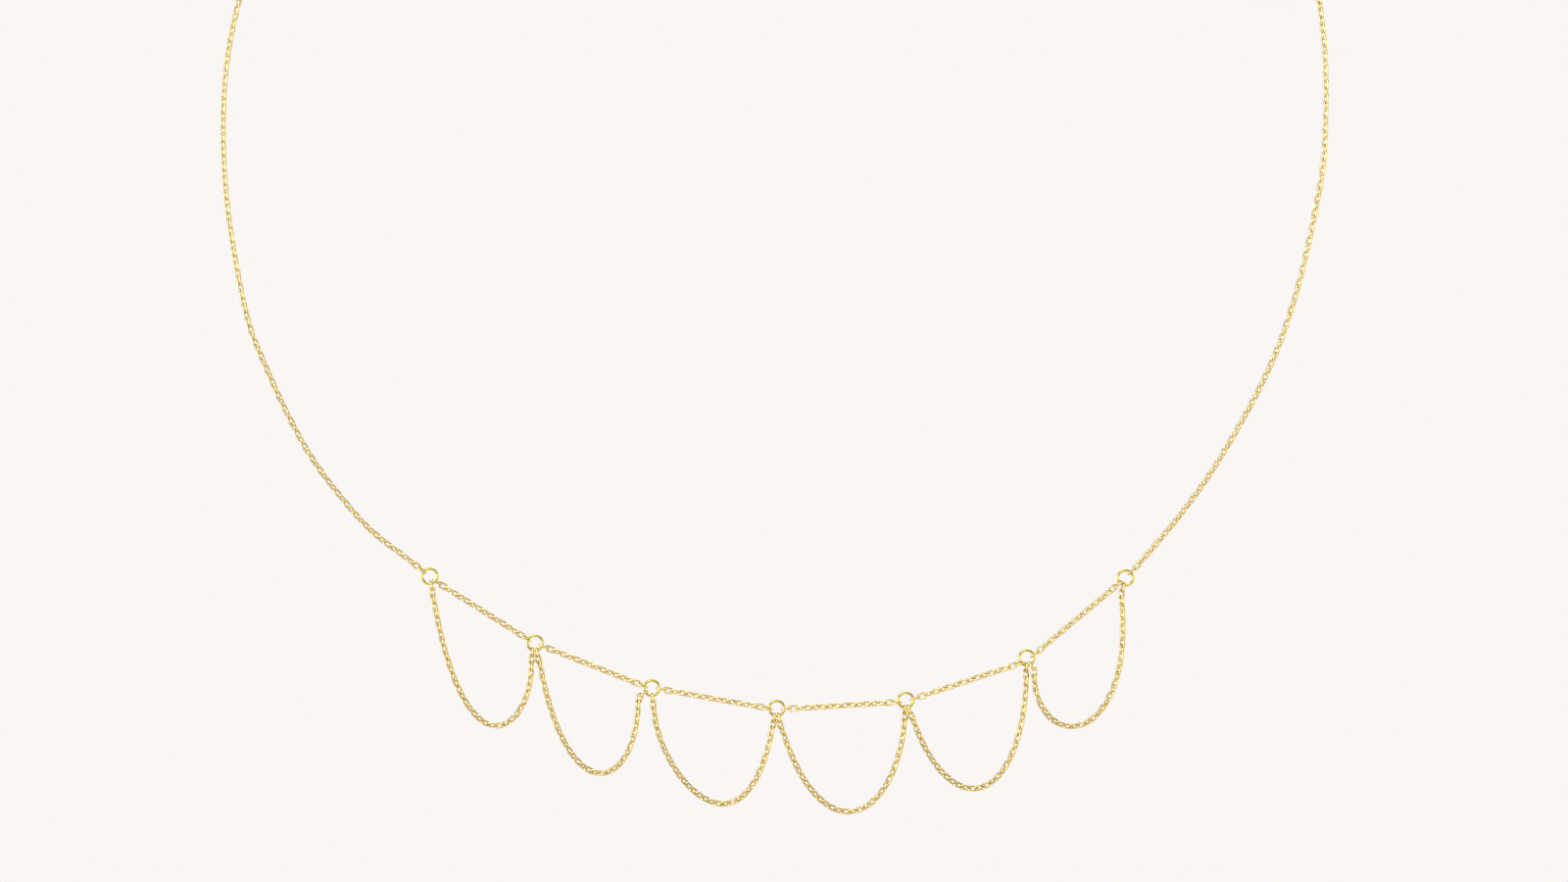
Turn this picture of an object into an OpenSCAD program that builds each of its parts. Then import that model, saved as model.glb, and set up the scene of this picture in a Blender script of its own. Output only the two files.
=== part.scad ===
// Fine cable-chain necklace with a row of hanging chain swags.
// The loop hangs in the XZ plane, the swags towards -Z, and its front is towards -Y.
// The origin is at the nape, where the underside of the clasp bears on the neck.

/* [Cable chain] */
// Length of one link, outside
link_l = 1.42; // [1.41:0.01:1.45]
// Width of one link, outside
link_w = 0.9; // [0.9:0.02:0.96]
// Width of the wider link that hooks on a ring
end_link_w = 1; // [1:0.02:1.04]
// Diameter of the wire of a link
link_wire = 0.2; // [0.17:0.01:0.2]
// Diameter of the plain tubes that hold the place of the straight and side chains
tube_d = 0.8; // [0.6:0.05:0.8]

/* [Jump rings] */
// Outside diameter of the rings that part the front into bays
ring_d = 2.2; // [2.2:0.05:2.4]
// Diameter of the wire of those rings
ring_wire = 0.34; // [0.3:0.01:0.34]

/* [Swags] */
// Number of links in each hanging swag, an even number
swag_links = 36; // [36:2:38]

/* [Neck loop] */
// How far the sides lean inwards, in degrees from straight up, where the plain top of the loop begins
top_lean = 12; // [10:1:14]
// How far each side runs on that way before it turns over the top
side_pull = 28; // [26:1:32]
// How far the top runs level on each side of the clasp before it turns down
top_pull = 36; // [32:1:38]

/* [Clasp] */
// Outside diameter of the round clasp
clasp_d = 5; // [5:0.1:5.6]
// Diameter of the clasp's tube
clasp_tube = 1.1; // [1:0.05:1.1]
// Outside diameter of the eyelet that is soldered to the clasp
eyelet_d = 1.75; // [1.7:0.05:2]
// Outside diameter of the ring that the clasp closes on
end_ring_d = 2.6; // [2.5:0.05:2.7]
// Diameter of the wire of that ring
end_ring_wire = 0.4; // [0.36:0.02:0.42]

/* [Hidden] */
gold = [0.87, 0.77, 0.47];
tube_sides = 8;
tube_sections = 32;
// Points on each half of the loop's plain top
top_steps = 10;
// Steps in which a swag's curve is measured
fine = 120;
// Clear space between two pieces that hook into each other
play = 0.14;
// How far two neighbouring swags step to the front and back of each other under a ring
pass_by = 0.17;
// How deep the eyelet's wire is sunk into the clasp's tube
solder_bite = 0.3;
top_z = clasp_d / 2;

// Centres of the jump rings from left to right, as x and z
ring_at = [
    [-42.2, -121.2],
    [-29.3, -129.4],
    [-15, -134.9],
    [0.3, -137.4],
    [16.1, -136.4],
    [30.9, -131.2],
    [43, -121.4]
];

// Ways and places round a ring are in degrees from straight down, with positive towards +X.
// Where each straight chain hooks on the ring at its left end and on the ring at its right end
front_hooks = [
    [46, -118],
    [69, -105],
    [84, -90],
    [86, -77],
    [101, -46],
    [113, -47]
];

// Each swag's left end and right end: where it hooks on its ring, which way its first and its second
// link hang, and which way and how far the rest is pulled before it turns
HOOK = 0;
FIRST = 1;
SECOND = 2;
LEAN = 3;
PULL = 4;
swag_left = [
    [18, 5, 6, 9.5, 23.2],
    [15, 5, 22, 10, 18.6],
    [5, 5, 7, 2.5, 8.2],
    [15, 5, 24, 17, 16.5],
    [22, 13, 29, 19, 13.8],
    [35, 30, -5, 2, 9.7]
];
swag_right = [
    [-17, -6, -9, 1, 8.7],
    [-60, -58, -15, -1.5, 11.5],
    [-17, -7, -15.5, -10.5, 18.4],
    [-7, -1, -1, -5, 12.8],
    [-6, -1, 5, -2, 16.1],
    [-18, -12, -7.5, 5.5, 18.9]
];

// The side chains' way up from the end rings, as x and z
left_way = [
    [-45, -119], [-49.5, -115.5], [-53.4, -111.1], [-56.8, -106.5], [-59.6, -101.4],
    [-62, -96.2], [-64.2, -90.8], [-65.5, -85.2], [-66.5, -79.5], [-67.2, -73.8],
    [-67.5, -68], [-67.4, -62.2], [-66.8, -56.5], [-65.6, -50.9]
];
right_way = [
    [46.3, -117.8], [50, -113.3], [53.4, -108.6], [56.4, -103.7], [59.2, -98.6],
    [61.6, -93.4], [63.5, -87.9], [65, -82.3], [66.2, -76.7], [67.2, -70.9],
    [67.5, -65.2], [67.5, -59.4], [67.1, -53.7], [66.1, -47.8]
];

RINGS = len(ring_at);
BAYS = RINGS - 1;

// Radius of the wire's centre line in each ring
ring_r = (ring_d - ring_wire) / 2;
clasp_r = (clasp_d - clasp_tube) / 2;
eyelet_wire = ring_wire;
eyelet_r = (eyelet_d - eyelet_wire) / 2;
end_ring_r = (end_ring_d - end_ring_wire) / 2;
eyelet_x = solder_bite - (clasp_d + eyelet_d) / 2;
end_ring_x = clasp_r - clasp_tube / 2 - play - end_ring_wire / 2 + end_ring_r;
// Length that each link adds to a chain, and how far its bow reaches past the joint with the next
pitch = link_l - 2 * link_wire - play;
reach = (play + link_wire) / 2;

// Plane vectors, as x and z
function unit(v) = v / norm(v);
function down(lean) = [sin(lean), -cos(lean)];
function heading(v) = atan2(v[1], v[0]);

// Where a chain that hooks over a ring's wire has its first joint: the link's bow reaches into the
// ring until it is clear of the wire all along it
function bow_reach(slant) =
    let (clear_r = ring_r - ring_wire / 2 - play - link_wire / 2)
    ring_r * cos(slant) - sqrt(pow(clear_r, 2) - pow(ring_r * sin(slant), 2));
function first_joint(ring, hook, way) =
    ring + ring_r * down(hook) - (bow_reach(hook - way) - reach) * down(way);

// The ends of the two links nearest a ring. The second hangs freely from the bow of the first.
function end_links(ring, end) =
    let (first = down(end[FIRST]), second = down(end[SECOND]))
    let (start = first_joint(ring, end[HOOK], end[FIRST]))
    let (bend = start + (pitch + reach) * first - reach * second)
    [[start, start + pitch * first], [bend, bend + pitch * second]];

// A cubic curve between two ends, each with its pull
function cubic(a, b, c, d, t) =
    pow(1 - t, 3) * a + 3 * t * pow(1 - t, 2) * b + 3 * t * t * (1 - t) * c + pow(t, 3) * d;

// The ends of each link of a swag, from its left ring to its right ring
function swag_links_at(i) =
    let (left = swag_left[i], right = swag_right[i])
    let (from = end_links(ring_at[i], left), to = end_links(ring_at[i + 1], right))
    let (a = from[1][1], b = a + left[PULL] * down(left[LEAN]))
    let (d = to[1][1], c = d + right[PULL] * down(right[LEAN]))
    let (joints = evenly([for (k = [0:fine]) cubic(a, b, c, d, k / fine)], swag_links - 4))
    concat(
        from,
        [for (k = [1:swag_links - 4]) [joints[k - 1], joints[k]]],
        [[to[1][1], to[1][0]], [to[0][1], to[0][0]]]
    );

// A smooth line through a way's points
function through(p, q, r, s, t) =
    q + t * (r - p) / 2 + t * t * (p - 2.5 * q + 2 * r - s / 2) + t * t * t * (1.5 * (q - r) + (s - p) / 2);
function smooth(way, steps = 6) =
    let (last = len(way) - 1)
    concat(
        [for (i = [0:last - 1], k = [0:steps - 1])
            through(way[max(i - 1, 0)], way[i], way[i + 1], way[min(i + 2, last)], k / steps)],
        [way[last]]
    );

// Points at even distances along a line
function running_length(line) =
    let (last = len(line) - 1)
    [for (i = 0, s = 0; i <= last; s = s + norm(line[min(i + 1, last)] - line[i]), i = i + 1) s];
function span_at(runs, s, i = 0) = i >= len(runs) - 2 || runs[i + 1] >= s ? i : span_at(runs, s, i + 1);
function evenly(line, count) =
    let (runs = running_length(line), total = runs[len(runs) - 1])
    [for (k = [0:count])
        let (s = total * k / count, i = span_at(runs, s))
        line[i] + (line[i + 1] - line[i]) * (s - runs[i]) / (runs[i + 1] - runs[i])];

// The plain top of the loop, from a side's last point to its place at the clasp
function over_the_top(side, from, to) =
    let (b = from + side_pull * [-side * sin(top_lean), cos(top_lean)])
    let (c = to + [side * top_pull, 0])
    [for (k = [1:top_steps - 1]) cubic(from, b, c, to, k / top_steps)];

// How far each link is turned about the chain, so that neighbours cross, the links at the ends hook
// squarely over a ring's wire and those between settle on the diagonal
function settle(k) = max(0, min((k - 1) / 3, 1));
function turn(k, count) = 90 * k - 45 * settle(k) - 45 * (1 - settle(count - 1 - k));

// How far a swag's joints stand to the front at its left end and to the back at its right end,
// so that two swags that hang side by side from one ring pass each other. The first joint stands the
// other way, which keeps the ring's wire in the middle of the link.
function beside(k) = k < 1 ? -0.36 : max(0, min(1, 2 - k / 2));
function stand_off(k, count) = pass_by * (beside(count - k) - beside(k));

// One oval link of round wire, lying in the XY plane with its length along X
module link(width) {
    straight = link_l - width;
    bow_r = (width - link_wire) / 2;
    for (side = [-1, 1]) {
        translate([side * straight / 2, 0, 0])
            rotate([0, 0, -90 * side])
                rotate_extrude(angle = 180, $fn = 32)
                    translate([bow_r, 0])
                        circle(d = link_wire, $fn = 16);
        translate([-straight / 2, side * bow_r, 0])
            rotate([0, 90, 0])
                cylinder(d = link_wire, h = straight, $fn = 16);
    }
}

// A chain of links from ring to ring, each between its two ends in the necklace's plane
module linked(links) {
    count = len(links);
    for (k = [0:count - 1]) {
        middle = (links[k][0] + links[k][1]) / 2;
        ahead = links[k][1] - links[k][0];
        near_y = stand_off(k, count);
        far_y = stand_off(k + 1, count);
        translate([middle[0], (near_y + far_y) / 2, middle[1]])
            rotate([0, -heading(ahead), 0])
                rotate([turn(k, count), 0, atan2(far_y - near_y, norm(ahead))])
                    link(k == 0 || k == count - 1 ? end_link_w : link_w);
    }
}

// A plain tube along a line in the necklace's plane
module tube(line) {
    last = len(line) - 1;
    ends = [for (k = [0:tube_sides - 1]) (k + 0.5) * 360 / tube_sides];
    points = [for (i = [0:last])
        let (ahead = unit(line[min(i + 1, last)] - line[max(i - 1, 0)]))
        for (a = ends)
            let (across = tube_d / 2 * cos(a))
            [line[i][0] - ahead[1] * across, tube_d / 2 * sin(a), line[i][1] + ahead[0] * across]];
    sides = [for (i = [0:last - 1], k = [0:tube_sides - 1])
        let (next = (k + 1) % tube_sides, low = i * tube_sides, high = low + tube_sides)
        [low + k, high + k, high + next, low + next]];
    near_cap = [[for (k = [0:tube_sides - 1]) k]];
    far_cap = [[for (k = [tube_sides - 1:-1:0]) last * tube_sides + k]];
    polyhedron(points = points, faces = concat(sides, near_cap, far_cap));
}

// A ring of round wire about the Z axis
module wire_ring(r, wire) {
    rotate_extrude($fn = 64)
        translate([r, 0])
            circle(d = wire, $fn = 24);
}

module jump_ring(i) {
    color(gold)
        translate([ring_at[i][0], 0, ring_at[i][1]])
            rotate([90, 0, 0])
                wire_ring(ring_r, ring_wire);
}

module swag(i) {
    color(gold)
        linked(swag_links_at(i));
}

module front_chain(i) {
    left = ring_at[i] + ring_r * down(front_hooks[i][0]);
    right = ring_at[i + 1] + ring_r * down(front_hooks[i][1]);
    ahead = unit(right - left);
    clear = (ring_d / 2 + play) * ahead;
    color(gold)
        tube([
            left + clear - ((left - ring_at[i]) * ahead) * ahead,
            right - clear - ((right - ring_at[i + 1]) * ahead) * ahead
        ]);
}

module side_chain(way, ring, side, top_x) {
    start = ring + unit(way[0] - ring) * (ring_d / 2 + play);
    end = [side * (top_x + play), top_z];
    top = over_the_top(side, way[len(way) - 1], end);
    color(gold)
        tube(evenly(smooth(concat([start], way, top, [end])), tube_sections - 1));
}

module clasp() {
    color(gold)
        translate([0, 0, top_z])
            rotate([90, 0, 0]) {
                wire_ring(clasp_r, clasp_tube);
                translate([eyelet_x, 0, 0])
                    wire_ring(eyelet_r, eyelet_wire);
            }
}

module end_ring() {
    color(gold)
        translate([end_ring_x, 0, top_z])
            wire_ring(end_ring_r, end_ring_wire);
}

clasp();
end_ring();
side_chain(left_way, ring_at[0], -1, eyelet_d / 2 - eyelet_x);  // side_chain_left
side_chain(right_way, ring_at[RINGS - 1], 1, end_ring_x + end_ring_d / 2);  // side_chain_right
for (i = [0:RINGS - 1])
    jump_ring(i);
for (i = [0:BAYS - 1])
    front_chain(i);
for (i = [0:BAYS - 1])
    swag(i);
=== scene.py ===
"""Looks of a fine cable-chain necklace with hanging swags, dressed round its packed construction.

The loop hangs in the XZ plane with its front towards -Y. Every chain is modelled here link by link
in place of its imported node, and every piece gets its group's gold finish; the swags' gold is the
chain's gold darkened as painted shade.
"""

import logging
import math
import random
from collections.abc import Callable, Sequence
from dataclasses import dataclass, field
from enum import Enum

import bmesh
import bpy
from mathutils import Matrix, Vector


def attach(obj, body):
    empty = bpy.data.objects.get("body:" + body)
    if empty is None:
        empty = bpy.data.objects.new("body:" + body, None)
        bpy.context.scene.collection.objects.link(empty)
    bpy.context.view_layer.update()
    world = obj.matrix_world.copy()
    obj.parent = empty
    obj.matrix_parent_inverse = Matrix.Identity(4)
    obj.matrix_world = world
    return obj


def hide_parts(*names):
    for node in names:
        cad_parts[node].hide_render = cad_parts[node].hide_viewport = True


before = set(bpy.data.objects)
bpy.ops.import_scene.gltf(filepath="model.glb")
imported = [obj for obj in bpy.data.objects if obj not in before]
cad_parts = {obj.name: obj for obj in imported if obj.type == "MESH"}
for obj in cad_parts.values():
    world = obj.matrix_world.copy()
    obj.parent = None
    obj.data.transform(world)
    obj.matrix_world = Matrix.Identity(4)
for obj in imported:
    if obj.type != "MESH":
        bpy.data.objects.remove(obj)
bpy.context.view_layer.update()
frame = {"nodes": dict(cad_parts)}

log = logging.getLogger("necklace")

MM = 0.001
BODY = "root"

# Clear space between two pieces that hook into each other
PLAY = 0.04 * MM
# What is added to it where a link hangs at an angle from the one before
BENT_PLAY = 0.08 * MM

# How far a link is turned about its chain from the one before, and where a chain settles, in degrees
QUARTER = 90
DIAGONAL = 45

Point = tuple[float, float]
Colour = tuple[float, float, float]


def down(way: float) -> Vector:
    """Returns the unit vector that points a way, in degrees from straight down with positive towards +X."""
    return Vector((math.sin(math.radians(way)), -math.cos(math.radians(way))))


def clear_selection() -> None:
    """Leaves nothing selected, so that the next operator acts on its own piece alone."""
    bpy.ops.object.select_all(action="DESELECT")


def shape_vertices(
    piece: bpy.types.Object, chosen: Callable[[Vector], bool], operate: Callable[[], object]
) -> None:
    """Runs an edit-mode operator on some of a piece's vertices.

    Args:
        piece: The mesh object to shape.
        chosen: Says of a vertex's place whether it is selected.
        operate: Calls the operator.
    """
    bpy.context.view_layer.objects.active = piece
    bpy.ops.object.mode_set(mode="EDIT")
    mesh = bmesh.from_edit_mesh(piece.data)
    for vertex in mesh.verts:
        vertex.select_set(chosen(vertex.co))
    mesh.select_flush_mode()
    bmesh.update_edit_mesh(piece.data)
    operate()
    bpy.ops.object.mode_set(mode="OBJECT")


class Polish(Enum):
    """How smooth a gold surface is, as its mean roughness."""

    BRIGHT = 0.16
    SOFT = 0.3


@dataclass(frozen=True)
class GoldFinish:
    """A yellow-gold finish, with worn patches and fine scratches worked out from the surface's place."""

    name: str
    slot: str
    fresh: Colour
    worn: Colour
    polish: Polish
    roughness_spread: float = 0.08
    patch_size: float = 1.1 * MM
    patch_layers: float = 3.0
    # Where the patches' noise is fully worn and fully fresh
    worn_to: float = 0.35
    fresh_from: float = 0.65
    scratch_size: float = 0.05 * MM
    scratch_layers: float = 2.0
    scratch_depth: float = 0.004 * MM
    scratch_strength: float = 0.35

    def material(self) -> bpy.types.Material:
        """Builds the finish as a node material.

        Returns:
            The new material.
        """
        material = bpy.data.materials.new(self.name)
        material.use_nodes = True
        tree = material.node_tree
        shader = tree.nodes["Principled BSDF"]
        shader.inputs["Metallic"].default_value = 1.0
        place = tree.nodes.new("ShaderNodeTexCoord").outputs["Object"]
        patches = self._noise(tree, place, self.patch_size, self.patch_layers)
        tree.links.new(self._tint(tree, patches), shader.inputs["Base Color"])
        tree.links.new(self._roughness(tree, patches), shader.inputs["Roughness"])
        tree.links.new(self._scratches(tree, place), shader.inputs["Normal"])
        return material

    def _noise(
        self, tree: bpy.types.NodeTree, place: bpy.types.NodeSocket, size: float, layers: float
    ) -> bpy.types.NodeSocket:
        """Adds a noise texture.

        Args:
            tree: The material's nodes.
            place: The coordinates that the noise reads.
            size: Size of its patches in metres.
            layers: How many finer layers it has.

        Returns:
            The noise's value.
        """
        noise = tree.nodes.new("ShaderNodeTexNoise")
        noise.inputs["Scale"].default_value = 1.0 / size
        noise.inputs["Detail"].default_value = layers
        tree.links.new(place, noise.inputs["Vector"])
        return noise.outputs["Fac"]

    def _tint(self, tree: bpy.types.NodeTree, patches: bpy.types.NodeSocket) -> bpy.types.NodeSocket:
        """Adds the colour, which turns from worn to fresh with the patches.

        Args:
            tree: The material's nodes.
            patches: The value of the patches' noise.

        Returns:
            The colour.
        """
        ramp = tree.nodes.new("ShaderNodeValToRGB")
        low, high = ramp.color_ramp.elements
        low.position, low.color = self.worn_to, (*self.worn, 1.0)
        high.position, high.color = self.fresh_from, (*self.fresh, 1.0)
        tree.links.new(patches, ramp.inputs["Fac"])
        return ramp.outputs["Color"]

    def _roughness(self, tree: bpy.types.NodeTree, patches: bpy.types.NodeSocket) -> bpy.types.NodeSocket:
        """Adds the roughness, which is higher where the gold is worn.

        Args:
            tree: The material's nodes.
            patches: The value of the patches' noise.

        Returns:
            The roughness.
        """
        spread = tree.nodes.new("ShaderNodeMapRange")
        spread.inputs["To Min"].default_value = self.polish.value + self.roughness_spread
        spread.inputs["To Max"].default_value = self.polish.value - self.roughness_spread
        tree.links.new(patches, spread.inputs["Value"])
        return spread.outputs["Result"]

    def _scratches(self, tree: bpy.types.NodeTree, place: bpy.types.NodeSocket) -> bpy.types.NodeSocket:
        """Adds fine scratches to the surface's normal.

        Args:
            tree: The material's nodes.
            place: The coordinates that the scratches read.

        Returns:
            The normal.
        """
        bump = tree.nodes.new("ShaderNodeBump")
        bump.inputs["Strength"].default_value = self.scratch_strength
        bump.inputs["Distance"].default_value = self.scratch_depth
        scratches = self._noise(tree, place, self.scratch_size, self.scratch_layers)
        tree.links.new(scratches, bump.inputs["Height"])
        return bump.outputs["Normal"]


CHAIN_GOLD = GoldFinish("chain_gold", "gold_chain", (0.84, 0.69, 0.33), (0.77, 0.62, 0.25), Polish.SOFT)
# Painted shade: the swags are the same chain as the front and side chains, and their gold is made darker to
# stand in for the shade they fall in
SHADED_SWAG_GOLD = GoldFinish("swag_gold_painted_shade", "gold_swag", (0.76, 0.62, 0.26), (0.69, 0.54, 0.18), Polish.SOFT)
RING_GOLD = GoldFinish("ring_gold", "gold_ring", (0.72, 0.61, 0.18), (0.65, 0.54, 0.12), Polish.SOFT)
CLASP_GOLD = GoldFinish("clasp_gold", "gold_clasp", (0.86, 0.71, 0.34), (0.79, 0.64, 0.26), Polish.BRIGHT)


@dataclass
class Route:
    """A line in the necklace's plane, as points of x and z."""

    points: list[Vector]

    @classmethod
    def through(cls, points: Sequence[Point | Vector], steps: int = 6) -> "Route":
        """Makes a smooth line through some points.

        Args:
            points: The points in order.
            steps: How many parts each stretch between two points gets.

        Returns:
            The smooth line.
        """
        way = [Vector(point) for point in points]
        last = len(way) - 1
        line = []
        for i in range(last):
            p, q, r, s = way[max(i - 1, 0)], way[i], way[i + 1], way[min(i + 2, last)]
            for k in range(steps):
                t = k / steps
                linear = t * (r - p) / 2
                square = t**2 * (p - 2.5 * q + 2 * r - s / 2)
                cube = t**3 * (1.5 * (q - r) + (s - p) / 2)
                line.append(q + linear + square + cube)
        return cls([*line, way[last]])

    @classmethod
    def cubic(cls, a: Vector, b: Vector, c: Vector, d: Vector, steps: int) -> "Route":
        """Makes a cubic curve.

        Args:
            a: Its start.
            b: The point that it leaves towards.
            c: The point that it arrives from.
            d: Its end.
            steps: How many parts it gets.

        Returns:
            The curve.
        """
        parts = (k / steps for k in range(steps + 1))
        return cls(
            [(1 - t) ** 3 * a + 3 * t * (1 - t) ** 2 * b + 3 * t * t * (1 - t) * c + t**3 * d for t in parts]
        )

    def length(self) -> float:
        """Returns the line's length."""
        return sum((b - a).length for a, b in zip(self.points, self.points[1:]))

    def evenly(self, count: int) -> list[Vector]:
        """Divides the line into equal parts.

        Args:
            count: The number of parts.

        Returns:
            The ends of the parts, one more than their number.
        """
        part = self.length() / count
        marks = [self.points[0]]
        run = 0.0
        for a, b in zip(self.points, self.points[1:]):
            span = (b - a).length
            while len(marks) < count and run + span >= part * len(marks):
                marks.append(a.lerp(b, (part * len(marks) - run) / span))
            run += span
        return [*marks, self.points[-1]]


@dataclass
class CableLink:
    """One oval link of round wire, modelled once and copied along each chain."""

    width: float = 0.9 * MM
    length: float = 1.42 * MM
    wire: float = 0.25 * MM
    bow_steps: int = 14
    wire_sides: int = 6

    def model(self) -> bpy.types.Object:
        """Models the link in the XY plane with its length along X.

        Returns:
            The link as an object of its own.
        """
        clear_selection()
        bpy.ops.mesh.primitive_torus_add(
            major_radius=(self.width - self.wire) / 2,
            minor_radius=self.wire / 2,
            major_segments=self.bow_steps,
            minor_segments=self.wire_sides,
        )
        link = bpy.context.object
        half_straight = (self.length - self.width) / 2
        for side in (-1, 1):
            shape_vertices(
                link,
                lambda place: place.x * side > 0,
                lambda: bpy.ops.transform.translate(value=(side * half_straight, 0, 0)),
            )
        bpy.ops.object.shade_smooth()
        return link

    def pitch(self) -> float:
        """Returns the length that each link adds to a chain."""
        return self.length - 2 * self.wire - PLAY

    def reach(self) -> float:
        """Returns how far a link's bow reaches past its joint with the next."""
        return (PLAY + self.wire) / 2

    def count_on(self, length: float, odd: bool = False) -> int:
        """Works out how many links hold a stretch.

        Args:
            length: The stretch from its first joint to its last.
            odd: Whether the number has to be odd, as where the last link hooks on a ring that is turned.

        Returns:
            The number of links that keeps about the play between each two.
        """
        count = 2 * round((length / self.pitch() - odd) / 2) + odd
        longest = (self.pitch() + PLAY) * count
        return count if length <= longest else count + 2


@dataclass
class WireRing:
    """A ring of round wire that chains hook on."""

    centre: Vector
    diameter: float = 2.2 * MM
    wire: float = 0.34 * MM

    def radius(self) -> float:
        """Returns the radius of the wire's centre line."""
        return (self.diameter - self.wire) / 2

    def hook(self, at: Vector) -> Vector:
        """Returns the point of the wire that lies a way from the ring's centre."""
        return self.centre + self.radius() * at.normalized()

    def first_joint(self, at: Vector, way: Vector, link: CableLink) -> Vector:
        """Works out the first joint of a chain that hooks over the ring's wire.

        Args:
            at: Where it hooks, as a way from the ring's centre.
            way: The way the chain leaves.
            link: The link's sizes.

        Returns:
            The joint, which keeps the link's bow clear of the wire.
        """
        way = way.normalized()
        square, aside = at.normalized().dot(way), at.normalized().cross(way)
        clear = self.radius() - self.wire / 2 - PLAY - link.wire / 2
        bow_reach = self.radius() * square - math.sqrt(clear**2 - (self.radius() * aside) ** 2)
        return self.hook(at) - (bow_reach - link.reach()) * way


@dataclass
class Links:
    """The two links that every chain is copied from: the plain one, and the wide one that hooks on a ring."""

    shape: CableLink = field(default_factory=CableLink)
    end_width: float = 1.0 * MM
    plain: bpy.types.Object = field(init=False)
    wide: bpy.types.Object = field(init=False)

    def __post_init__(self) -> None:
        """Models both links."""
        self.plain = self.shape.model()
        self.wide = CableLink(width=self.end_width).model()

    def remove(self) -> None:
        """Takes both models out of the scene."""
        for link in (self.plain, self.wide):
            bpy.data.objects.remove(link)


@dataclass
class LinkedChain:
    """A chain of interlocked links from ring to ring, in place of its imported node."""

    name: str
    node: str
    # Where each link starts and ends, as x, y and z
    spans: list[tuple[Vector, Vector]]
    seed: int
    # How far each end link is turned off square over its ring, in degrees
    end_rolls: tuple[float, float] = (12.0, 12.0)
    swing: float = math.radians(5)
    turned_links: int = 3

    @classmethod
    def along(cls, name: str, node: str, joints: Sequence[Vector], seed: int) -> "LinkedChain":
        """Makes a chain whose links lie end to end in the necklace's plane.

        Args:
            name: The chain's name.
            node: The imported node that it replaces.
            joints: The joints as points of x and z.
            seed: Seed of the links' small turns.

        Returns:
            The chain.
        """
        places = [Vector((joint.x, 0, joint.y)) for joint in joints]
        spans = list(zip(places, places[1:]))
        return cls(name, node, spans, seed)

    def _settled(self, links_off: int, end_roll: float) -> float:
        """Returns how far a link has turned towards the diagonal, some links off its end of the chain."""
        start = end_roll / DIAGONAL
        return min(start + (1 - start) * links_off / self.turned_links, 1)

    def _turn(self, k: int) -> float:
        """Works out how far a link is turned about the chain.

        The end links hang nearly squarely over the rings, and the others lie on the diagonal.

        Args:
            k: The link's number, from 0 at the chain's start.

        Returns:
            The turn in radians.
        """
        near, far = self.end_rolls
        last = len(self.spans) - 1
        from_near = DIAGONAL * self._settled(k, near)
        from_far = DIAGONAL * (1 - self._settled(last - k, far))
        return math.radians(QUARTER * k - from_near - from_far)

    def build(self, links: Links, finish: bpy.types.Material, slot: str) -> bpy.types.Object:
        """Copies the links along the spans and joins the copies.

        Args:
            links: The modelled links.
            finish: The material of the chain.
            slot: The record's slot of that material; not used.

        Returns:
            The finished chain.
        """
        last = len(self.spans) - 1
        draw = random.Random(self.seed)
        clear_selection()
        for k, (start, end) in enumerate(self.spans):
            ahead = end - start
            free = min(k, last - k) > self.turned_links
            turn = self._turn(k) + (draw.uniform(-self.swing, self.swing) if free else 0.0)
            link = links.wide if k in (0, last) else links.plain
            copy = link.copy()
            copy.data = link.data.copy()
            copy.data.transform(
                Matrix.Translation((start + end) / 2)
                @ Matrix.Rotation(-math.atan2(ahead.z, ahead.x), 4, "Y")
                @ Matrix.Rotation(math.atan2(ahead.y, math.hypot(ahead.x, ahead.z)), 4, "Z")
                @ Matrix.Rotation(turn, 4, "X")
            )
            bpy.context.collection.objects.link(copy)
            copy.select_set(True)
            bpy.context.view_layer.objects.active = copy
        bpy.ops.object.join()
        chain = bpy.context.object
        chain.name = chain.data.name = self.name
        chain.data.materials.clear()
        chain.data.materials.append(finish)
        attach(chain, BODY)
        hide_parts(self.node)
        return chain


@dataclass
class FrontChains:
    """The short straight chains that run from jump ring to jump ring."""

    # The jump rings' centres from left to right, in millimetres
    ring_at: Sequence[Point] = (
        (-42.2, -121.2), (-29.3, -129.4), (-15, -134.9), (0.3, -137.4),
        (16.1, -136.4), (30.9, -131.2), (43, -121.4),
    )
    # Where each hooks on its left ring and on its right ring, in degrees from straight down
    hooks: Sequence[Point] = ((49, -118), (69, -105), (84, -90), (86, -77), (101, -48), (113, -49))

    def rings(self) -> list[WireRing]:
        """Returns the jump rings from left to right."""
        return [WireRing(Vector(point) * MM) for point in self.ring_at]

    def build(self, links: Links) -> list[bpy.types.Object]:
        """Builds one chain between each two rings.

        Args:
            links: The modelled links.

        Returns:
            The chains from left to right.
        """
        finish = CHAIN_GOLD.material()
        rings = self.rings()
        chains = []
        for i, (left, right, (out, back)) in enumerate(zip(rings, rings[1:], self.hooks), start=1):
            ahead = right.hook(down(back)) - left.hook(down(out))
            first = left.first_joint(down(out), ahead, links.shape)
            last = right.first_joint(down(back), -ahead, links.shape)
            route = Route([first, last])
            joints = route.evenly(links.shape.count_on(route.length()))
            chain = LinkedChain.along(f"front_links_{i}", f"front_chain_{i}", joints, seed=i)
            chains.append(chain.build(links, finish, CHAIN_GOLD.slot))
        return chains


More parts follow.
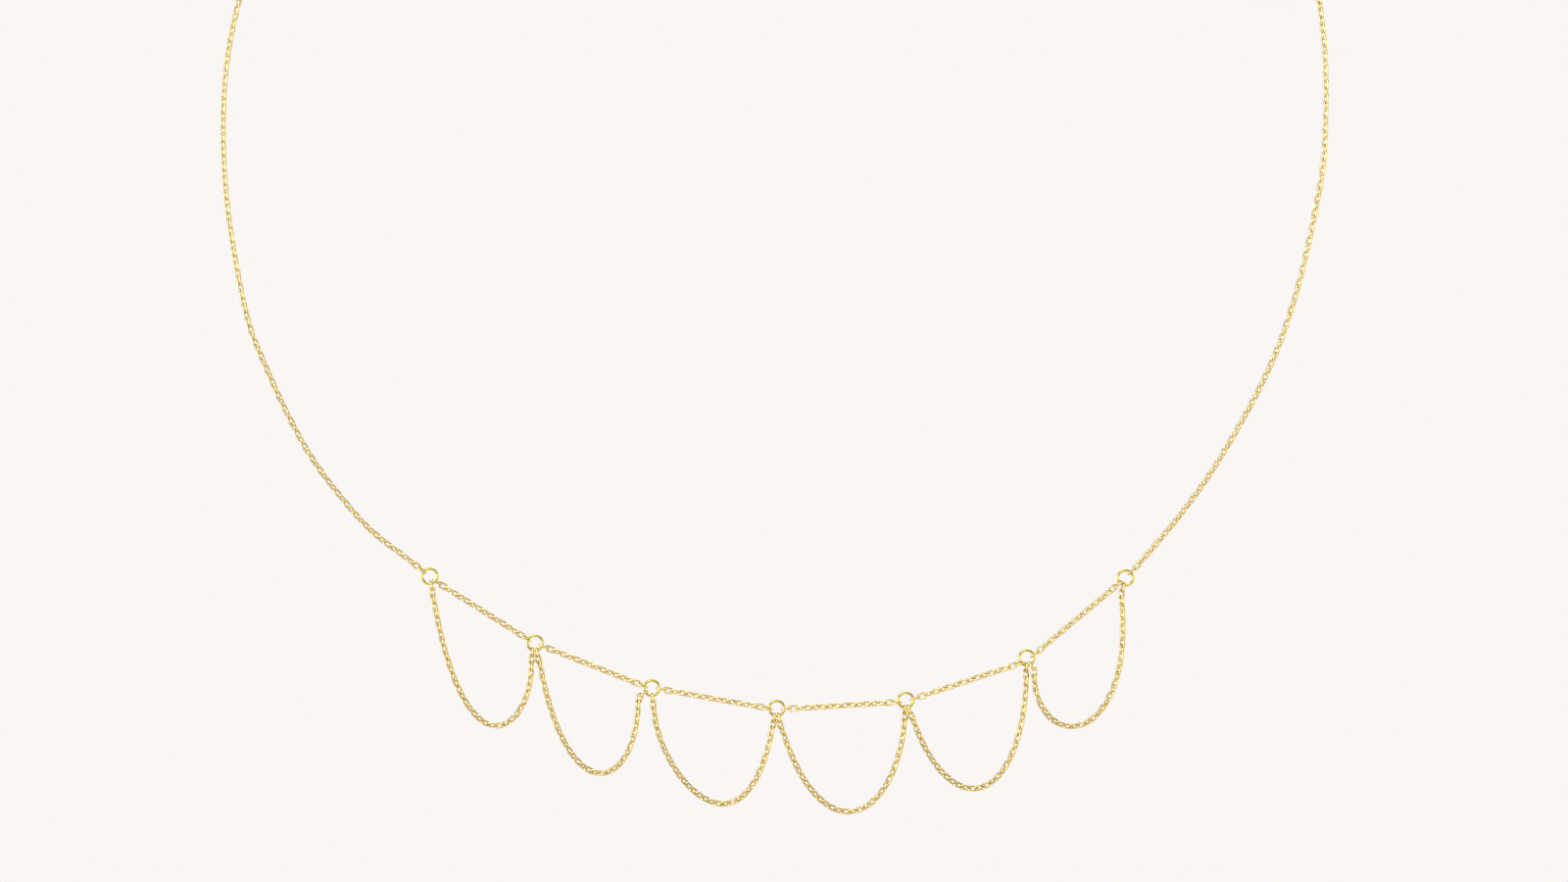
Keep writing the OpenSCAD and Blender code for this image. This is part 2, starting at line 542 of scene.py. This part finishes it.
@dataclass
class SideChains:
    """The two long chains from the end jump rings over the plain top to the clasp."""

    # Points of each side from its ring upwards, in millimetres
    left_way: Sequence[Point] = (
        (-45, -119), (-49.5, -115.5), (-53.4, -111.1), (-56.8, -106.5), (-59.6, -101.4),
        (-62, -96.2), (-64.2, -90.8), (-65.5, -85.2), (-66.5, -79.5), (-67.2, -73.8),
        (-67.5, -68), (-67.4, -62.2), (-66.8, -56.5), (-65.6, -50.9),
    )
    right_way: Sequence[Point] = (
        (46.3, -117.8), (50, -113.3), (53.4, -108.6), (56.4, -103.7), (59.2, -98.6),
        (61.6, -93.4), (63.5, -87.9), (65, -82.3), (66.2, -76.7), (67.2, -70.9),
        (67.5, -65.2), (67.5, -59.4), (67.1, -53.7), (66.1, -47.8),
    )
    top_lean: float = math.radians(12)
    side_pull: float = 28 * MM
    top_pull: float = 36 * MM
    top_steps: int = 10
    middle_seed: int = 10
    # The rings at the clasp that each chain ends on
    eyelet: WireRing = field(
        default_factory=lambda: WireRing(Vector((-3.075, 2.5)) * MM, diameter=1.75 * MM, wire=0.34 * MM)
    )
    end_ring: WireRing = field(
        default_factory=lambda: WireRing(Vector((2.16, 2.5)) * MM, diameter=2.6 * MM, wire=0.4 * MM)
    )

    def over_the_top(self, side: int, start: Vector, end: Vector) -> list[Vector]:
        """Rounds the plain top of the loop.

        Args:
            side: -1 for the left half and 1 for the right.
            start: The side's last point.
            end: The chain's end at the clasp.

        Returns:
            The points between the two.
        """
        b = start + self.side_pull * Vector((-side * math.sin(self.top_lean), math.cos(self.top_lean)))
        c = end + Vector((side * self.top_pull, 0))
        return Route.cubic(start, b, c, end, self.top_steps).points[1:-1]

    def route(self, side: int, front: FrontChains, shape: CableLink) -> Route:
        """Works out a side chain's line from its first joint to its last.

        Args:
            side: -1 for the left chain and 1 for the right.
            front: The front of the necklace, which holds the rings' places.
            shape: The link's sizes.

        Returns:
            The smooth line.
        """
        way = [Vector(point) * MM for point in (self.left_way if side < 0 else self.right_way)]
        ring = front.rings()[0 if side < 0 else -1]
        finding = self.eyelet if side < 0 else self.end_ring
        outwards = Vector((side, 0))
        start = ring.first_joint(way[0] - ring.centre, way[0] - ring.centre, shape)
        tube_end = finding.centre + (finding.diameter / 2 + PLAY) * outwards
        last_joint = finding.first_joint(outwards, outwards, shape)
        line = Route.through([start, *way, *self.over_the_top(side, way[-1], tube_end), tube_end])
        return Route([*line.points, last_joint])

    def build(self, front: FrontChains, links: Links) -> list[bpy.types.Object]:
        """Builds both side chains.

        Args:
            front: The front of the necklace.
            links: The modelled links.

        Returns:
            The left chain and the right one.
        """
        finish = CHAIN_GOLD.material()
        chains = []
        for side, word in ((-1, "left"), (1, "right")):
            route = self.route(side, front, links.shape)
            joints = route.evenly(links.shape.count_on(route.length(), odd=side > 0))
            chain = LinkedChain.along(
                f"side_links_{word}", f"side_chain_{word}", joints, seed=self.middle_seed + side
            )
            chains.append(chain.build(links, finish, CHAIN_GOLD.slot))
        return chains


@dataclass(frozen=True)
class SwagEnd:
    """How a swag hangs from one ring. Ways are in degrees from straight down, with positive towards +X."""

    # Where on the ring it hooks, and which way its first two links point
    hook: float
    first: float
    second: float
    # Which way the curve below them sets out, and for how many millimetres it is pulled that way
    lean: float
    pull: float
    # How far the first link is turned off square over the ring
    roll: float = 12.0

    def links(self, ring: WireRing, link: CableLink) -> list[tuple[Vector, Vector]]:
        """Places the two links nearest the ring. The second hangs freely from the bow of the first.

        Args:
            ring: The ring that the swag hooks on.
            link: The link's sizes.

        Returns:
            Where each of the two starts and ends, as x and z, from the ring downwards.
        """
        pitch = link.pitch()
        start = ring.first_joint(down(self.hook), down(self.first), link)
        bow = start + (pitch + link.reach()) * down(self.first)
        bend = bow - (link.reach() + BENT_PLAY) * down(self.second)
        return [(start, start + pitch * down(self.first)), (bend, bend + pitch * down(self.second))]


@dataclass
class Swags:
    """The hanging chains, one under each front chain."""

    ends: Sequence[tuple[SwagEnd, SwagEnd]] = (
        (SwagEnd(11, 11, 6, 9.5, 23.2), SwagEnd(-17, -6, -9, 1, 8.7)),
        (SwagEnd(15, 5, 22, 10, 18.6), SwagEnd(-57, -52, -20, -1.5, 11.5, 0)),
        (SwagEnd(5, 5, 7, 2.5, 8.2), SwagEnd(-17, -7, -15.5, -10.5, 18.4)),
        (SwagEnd(15, 5, 24, 17, 16.5), SwagEnd(-7, -1, -1, -5, 12.8)),
        (SwagEnd(22, 13, 29, 19, 13.8), SwagEnd(-2, -5, 5, -2, 16.1)),
        (SwagEnd(34, 27, 0, 2, 9.7, 0), SwagEnd(-13, -15, -7.5, 5.5, 18.9)),
    )
    count: int = 36
    # How far two neighbouring swags step to the front and back of each other under a ring
    pass_by: float = 0.17 * MM
    # How much of that step the joint in the ring takes, the other way
    hook_share: float = 0.36
    # The last joint from a ring with the whole step, and the first with none
    whole_step_to: int = 2
    no_step_from: int = 4
    curve_steps: int = 120
    first_seed: int = 21

    def _beside(self, k: int) -> float:
        """Works out how far a joint stands to the side of the next swag on the same ring.

        Args:
            k: How many joints it is from the ring.

        Returns:
            The share of the whole step, which is the other way in the ring itself.
        """
        if k < 1:
            return -self.hook_share
        return max(0.0, min(1.0, (self.no_step_from - k) / (self.no_step_from - self.whole_step_to)))

    def _joint(self, k: int, place: Vector) -> Vector:
        """Returns joint k with its step to the front at the left end and to the back at the right end."""
        return Vector((place.x, self.pass_by * (self._beside(self.count - k) - self._beside(k)), place.y))

    def spans(
        self, left: WireRing, right: WireRing, ends: tuple[SwagEnd, SwagEnd], link: CableLink
    ) -> list[tuple[Vector, Vector]]:
        """Works out where each link of a swag starts and ends.

        Args:
            left: The ring at its left end.
            right: The ring at its right end.
            ends: How it hangs from each.
            link: The link's sizes.

        Returns:
            The start and end of each link, as x, y and z.
        """
        near, far = ends[0].links(left, link), ends[1].links(right, link)
        a, d = near[1][1], far[1][1]
        b = a + ends[0].pull * MM * down(ends[0].lean)
        c = d + ends[1].pull * MM * down(ends[1].lean)
        curve = Route.cubic(a, b, c, d, self.curve_steps).evenly(self.count - len(near) - len(far))
        flat = [*near, *zip(curve, curve[1:]), far[1][::-1], far[0][::-1]]
        return [(self._joint(k, start), self._joint(k + 1, end)) for k, (start, end) in enumerate(flat)]

    def build(self, front: FrontChains, links: Links) -> list[bpy.types.Object]:
        """Builds every swag.

        Args:
            front: The front of the necklace, which holds the rings' places.
            links: The modelled links.

        Returns:
            The swags from left to right.
        """
        # Painted shade: the swags get the chain's gold made darker
        finish = SHADED_SWAG_GOLD.material()
        rings = front.rings()
        swags = []
        for i, (left, right, ends) in enumerate(zip(rings, rings[1:], self.ends), start=1):
            spans = self.spans(left, right, ends, links.shape)
            rolls = (ends[0].roll, ends[1].roll)
            chain = LinkedChain(f"swag_links_{i}", f"swag_{i}", spans, self.first_seed + i - 1, rolls)
            swags.append(chain.build(links, finish, SHADED_SWAG_GOLD.slot))
        return swags


@dataclass
class Findings:
    """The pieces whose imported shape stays, and the finish that each group gets."""

    groups: dict[GoldFinish, tuple[str, ...]] = field(
        default_factory=lambda: {RING_GOLD: ("jump_ring_",), CLASP_GOLD: ("clasp", "end_ring")}
    )

    def dress(self, nodes: dict[str, bpy.types.Object]) -> list[str]:
        """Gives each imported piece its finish.

        Args:
            nodes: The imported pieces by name.

        Returns:
            The names of the pieces that were dressed.
        """
        dressed = []
        for finish, beginnings in self.groups.items():
            material = finish.material()
            for name, piece in nodes.items():
                if name.startswith(beginnings):
                    for slot in piece.material_slots:
                        slot.material = material
                    dressed.append(name)
        return dressed


@dataclass
class Softbox:
    """A soft square light out of the view."""

    name: str
    at: tuple[float, float, float]
    size: float
    power: float

    def build(self, target: Vector) -> None:
        """Makes the light and turns it to a point.

        Args:
            target: The point that it faces.
        """
        light = bpy.data.lights.new(self.name, "AREA")
        light.shape, light.size, light.energy = "SQUARE", self.size, self.power
        box = bpy.data.objects.new(self.name, light)
        box.location = self.at
        box.rotation_euler = (target - Vector(self.at)).to_track_quat("-Z", "Y").to_euler()
        box.visible_camera = False
        bpy.context.collection.objects.link(box)


@dataclass
class Studio:
    """The camera, the pale floor, the backdrop and the soft lights."""

    image_px: tuple[int, int] = (1600, 900)
    pixel: float = 0.12 * MM
    # Where the nape lies in the picture's frame, above its top edge
    nape_px: tuple[float, float] = (790, -422)
    lens: float = 100.0
    sensor: float = 36.0
    backdrop: Colour = (0.956, 0.922, 0.913)
    shade: float = 0.5
    floor_z: float = -200 * MM
    floor_r: float = 380 * MM
    # How far from its middle the floor starts to fade
    floor_clear_r: float = 200 * MM
    floor_sides: int = 96
    floor_tint: Colour = (0.9, 0.88, 0.87)
    floor_roughness: float = 0.7
    boxes: Sequence[Softbox] = (
        Softbox("key", (-0.3, -0.6, 0.5), 0.5, 3.8),
        Softbox("left", (-0.9, -0.45, -0.1), 0.6, 7.8),
        Softbox("right", (0.9, -0.45, -0.1), 0.6, 3.2),
        Softbox("back", (0.1, 0.7, 0.5), 0.5, 3.0),
    )

    def middle(self) -> Vector:
        """Works out where the camera looks.

        Returns:
            The point of the necklace's plane that it faces.
        """
        x = (self.image_px[0] / 2 - self.nape_px[0]) * self.pixel
        z = -(self.image_px[1] / 2 - self.nape_px[1]) * self.pixel
        return Vector((x, 0, z))

    def add_camera(self) -> None:
        """Sets up the camera straight in front of the necklace, at the distance that fits the frame."""
        data = bpy.data.cameras.new("camera")
        data.lens, data.sensor_width = self.lens, self.sensor
        camera = bpy.data.objects.new("camera", data)
        distance = self.image_px[0] * self.pixel * self.lens / self.sensor
        camera.location = self.middle() - Vector((0, distance, 0))
        camera.rotation_euler = (math.pi / 2, 0, 0)
        bpy.context.collection.objects.link(camera)
        bpy.context.scene.camera = camera

    def add_floor(self) -> None:
        """Lays a round pale floor under the necklace, which fades into the backdrop at its edge."""
        clear_selection()
        bpy.ops.mesh.primitive_circle_add(
            vertices=self.floor_sides, radius=self.floor_r, fill_type="NGON", location=(0, 0, self.floor_z)
        )
        floor = bpy.context.object
        floor.name = "floor"
        material = bpy.data.materials.new("pale_floor")
        material.use_nodes = True
        tree = material.node_tree
        shader = tree.nodes["Principled BSDF"]
        shader.inputs["Base Color"].default_value = (*self.floor_tint, 1.0)
        shader.inputs["Roughness"].default_value = self.floor_roughness
        place = tree.nodes.new("ShaderNodeTexCoord").outputs["Object"]
        radius = tree.nodes.new("ShaderNodeVectorMath")
        radius.operation = "LENGTH"
        tree.links.new(place, radius.inputs[0])
        fade = tree.nodes.new("ShaderNodeMapRange")
        fade.interpolation_type = "SMOOTHSTEP"
        fade.inputs["From Min"].default_value = self.floor_clear_r
        fade.inputs["From Max"].default_value = self.floor_r
        fade.inputs["To Min"].default_value = 1.0
        fade.inputs["To Max"].default_value = 0.0
        tree.links.new(radius.outputs["Value"], fade.inputs["Value"])
        tree.links.new(fade.outputs["Result"], shader.inputs["Alpha"])
        floor.data.materials.append(material)

    def add_backdrop(self) -> None:
        """Surrounds the scene with a plain pale backdrop that is lit more dimly than it looks."""
        world = bpy.data.worlds.new("backdrop")
        bpy.context.scene.world = world
        world.use_nodes = True
        tree = world.node_tree
        seen = tree.nodes["Background"]
        seen.inputs["Color"].default_value = (*self.backdrop, 1.0)
        lit = tree.nodes.new("ShaderNodeBackground")
        lit.inputs["Color"].default_value = (*self.backdrop, 1.0)
        lit.inputs["Strength"].default_value = self.shade
        mix = tree.nodes.new("ShaderNodeMixShader")
        tree.links.new(tree.nodes.new("ShaderNodeLightPath").outputs["Is Camera Ray"], mix.inputs["Fac"])
        tree.links.new(lit.outputs["Background"], mix.inputs[1])
        tree.links.new(seen.outputs["Background"], mix.inputs[2])
        tree.links.new(mix.outputs["Shader"], tree.nodes["World Output"].inputs["Surface"])

    def build(self) -> None:
        """Sets up the whole studio."""
        bpy.context.scene.view_settings.view_transform = "Standard"
        self.add_camera()
        self.add_floor()
        self.add_backdrop()
        for box in self.boxes:
            box.build(self.middle())


def main() -> None:
    """Builds the studio and the necklace's pieces in order."""
    logging.basicConfig(level=logging.INFO, format="%(name)s: %(message)s")
    Studio().build()
    links = Links()
    front = FrontChains()
    for chain in (*front.build(links), *SideChains().build(front, links), *Swags().build(front, links)):
        log.info("%s has %d faces", chain.name, len(chain.data.polygons))
    links.remove()
    for name in Findings().dress(frame["nodes"]):
        log.info("%s is dressed", name)


if __name__ == "__main__":
    main()
